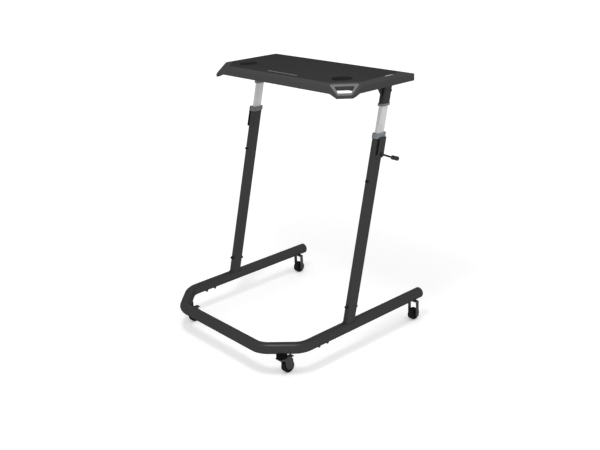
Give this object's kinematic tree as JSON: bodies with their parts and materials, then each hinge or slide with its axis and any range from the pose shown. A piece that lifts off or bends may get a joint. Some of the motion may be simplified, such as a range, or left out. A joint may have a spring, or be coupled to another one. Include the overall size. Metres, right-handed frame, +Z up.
{
  "type": "bike trainer desk",
  "caption": "Height-adjustable rolling desk for a bicycle on an indoor trainer, with a crank lift and a moulded top.",
  "frame": {"origin": "middle of the object's bounding box, on the floor under the casters", "axes": "+Z up; +Y towards the rider, out of the open end of the base; +X towards the post that carries the crank"},
  "size_m": [0.8246, 0.8, 1.057],
  "materials": {
    "black_paint": "satin",
    "silver_tube": "satin",
    "steel": "satin",
    "black_plastic": "matte",
    "collar_plastic": "matte",
    "ring_plastic": "matte",
    "desk_plastic": "textured",
    "mat_rubber": "matte",
    "bezel_plastic": "satin",
    "wheel_rubber": "matte",
    "caster_plastic": "matte"
  },
  "bodies": {
    "base": {"base_front_tube": "black_paint", "rail_r": "black_paint", "rail_l": "black_paint", "rail_sleeve_r": "steel", "rail_sleeve_l": "steel", "rail_cap_r": "black_plastic", "rail_cap_l": "black_plastic", "rail_screw_r1": "steel", "rail_screw_r2": "steel", "rail_screw_l1": "steel", "rail_screw_l2": "steel", "post_r": "black_paint", "post_l": "black_paint", "post_stub_r": "steel", "post_stub_l": "steel", "foot_bolt_r": "black_plastic", "foot_bolt_l": "black_plastic", "face_screw_r": "steel", "face_screw_l": "steel", "collar_r": "collar_plastic", "collar_l": "collar_plastic", "gearbox_r": "black_plastic", "gearbox_l": "black_plastic", "caster_mount_r": "caster_plastic", "caster_mount_l": "caster_plastic", "rear_fork_r": "caster_plastic", "rear_fork_l": "caster_plastic", "rear_axle_r": "steel", "rear_axle_l": "steel"},
    "lift": {"inner_tube_r": "silver_tube", "inner_tube_l": "silver_tube", "guide_shoe_r": "black_plastic", "guide_shoe_l": "black_plastic", "rack_r": "silver_tube", "rack_l": "silver_tube", "upper_sleeve_r": "black_paint", "upper_sleeve_l": "black_paint", "upper_bolt_r": "black_plastic", "upper_bolt_l": "black_plastic", "sleeve_ring_r": "ring_plastic", "sleeve_ring_l": "ring_plastic", "desktop_shell": "desk_plastic", "desk_mat": "mat_rubber", "grip_bezel_r": "bezel_plastic", "grip_bezel_l": "bezel_plastic", "desk_frame": "black_paint"},
    "crank": {"pinion_r": "steel", "crank_arm": "black_paint"},
    "crank_handle": {"crank_knob": "black_plastic"},
    "idler_gear": {"pinion_l": "steel"},
    "swivel_r": {"caster_fork_r": "caster_plastic", "front_axle_r": "steel"},
    "front_roller_r": {"front_wheel_r": "wheel_rubber"},
    "brake_r": {"brake_pedal_r": "caster_plastic"},
    "rear_roller_r": {"rear_wheel_r": "wheel_rubber"},
    "swivel_l": {"caster_fork_l": "caster_plastic", "front_axle_l": "steel"},
    "front_roller_l": {"front_wheel_l": "wheel_rubber"},
    "brake_l": {"brake_pedal_l": "caster_plastic"},
    "rear_roller_l": {"rear_wheel_l": "wheel_rubber"}
  },
  "joints": [
    {"name": "desk_lift", "type": "slide", "parent": "base", "child": "lift", "axis": [0, 0.2487, 0.9686], "range_m": [-0.095, 0.18]},
    {"name": "crank_turn", "type": "hinge", "parent": "base", "child": "crank", "pos_m": [0.37075, 0.14719, 0.77259], "axis": [1, 0, 0], "continuous": true},
    {"name": "handle_spin", "type": "hinge", "parent": "crank", "child": "crank_handle", "pos_m": [0.39575, 0.1995, 0.74995], "axis": [1, 0, 0], "continuous": true},
    {"name": "idler_turn", "type": "hinge", "parent": "base", "child": "idler_gear", "pos_m": [-0.39525, 0.14719, 0.77259], "axis": [1, 0, 0], "continuous": true},
    {"name": "caster_swivel_r", "type": "hinge", "parent": "base", "child": "swivel_r", "pos_m": [0.29375, -0.3205, 0.07], "axis": [0, 0, 1], "continuous": true},
    {"name": "front_wheel_spin_r", "type": "hinge", "parent": "swivel_r", "child": "front_roller_r", "pos_m": [0.29375, -0.2945, 0.025], "axis": [1, 0, 0], "continuous": true},
    {"name": "brake_press_r", "type": "hinge", "parent": "swivel_r", "child": "brake_r", "pos_m": [0.29375, -0.2895, 0.0604], "axis": [1, 0, 0], "range_deg": [0, 25]},
    {"name": "rear_wheel_spin_r", "type": "hinge", "parent": "base", "child": "rear_roller_r", "pos_m": [0.35075, 0.359, 0.025], "axis": [1, 0, 0], "continuous": true},
    {"name": "caster_swivel_l", "type": "hinge", "parent": "base", "child": "swivel_l", "pos_m": [-0.31825, -0.3205, 0.07], "axis": [0, 0, 1], "continuous": true},
    {"name": "front_wheel_spin_l", "type": "hinge", "parent": "swivel_l", "child": "front_roller_l", "pos_m": [-0.31825, -0.2945, 0.025], "axis": [1, 0, 0], "continuous": true},
    {"name": "brake_press_l", "type": "hinge", "parent": "swivel_l", "child": "brake_l", "pos_m": [-0.31825, -0.2895, 0.0604], "axis": [1, 0, 0], "range_deg": [0, 25]},
    {"name": "rear_wheel_spin_l", "type": "hinge", "parent": "base", "child": "rear_roller_l", "pos_m": [-0.37525, 0.359, 0.025], "axis": [1, 0, 0], "continuous": true}
  ],
  "couplings": [
    {"joint": "crank_turn", "follows": "desk_lift", "rad_per_m": -133.33},
    {"joint": "idler_turn", "follows": "desk_lift", "rad_per_m": -133.33}
  ]
}
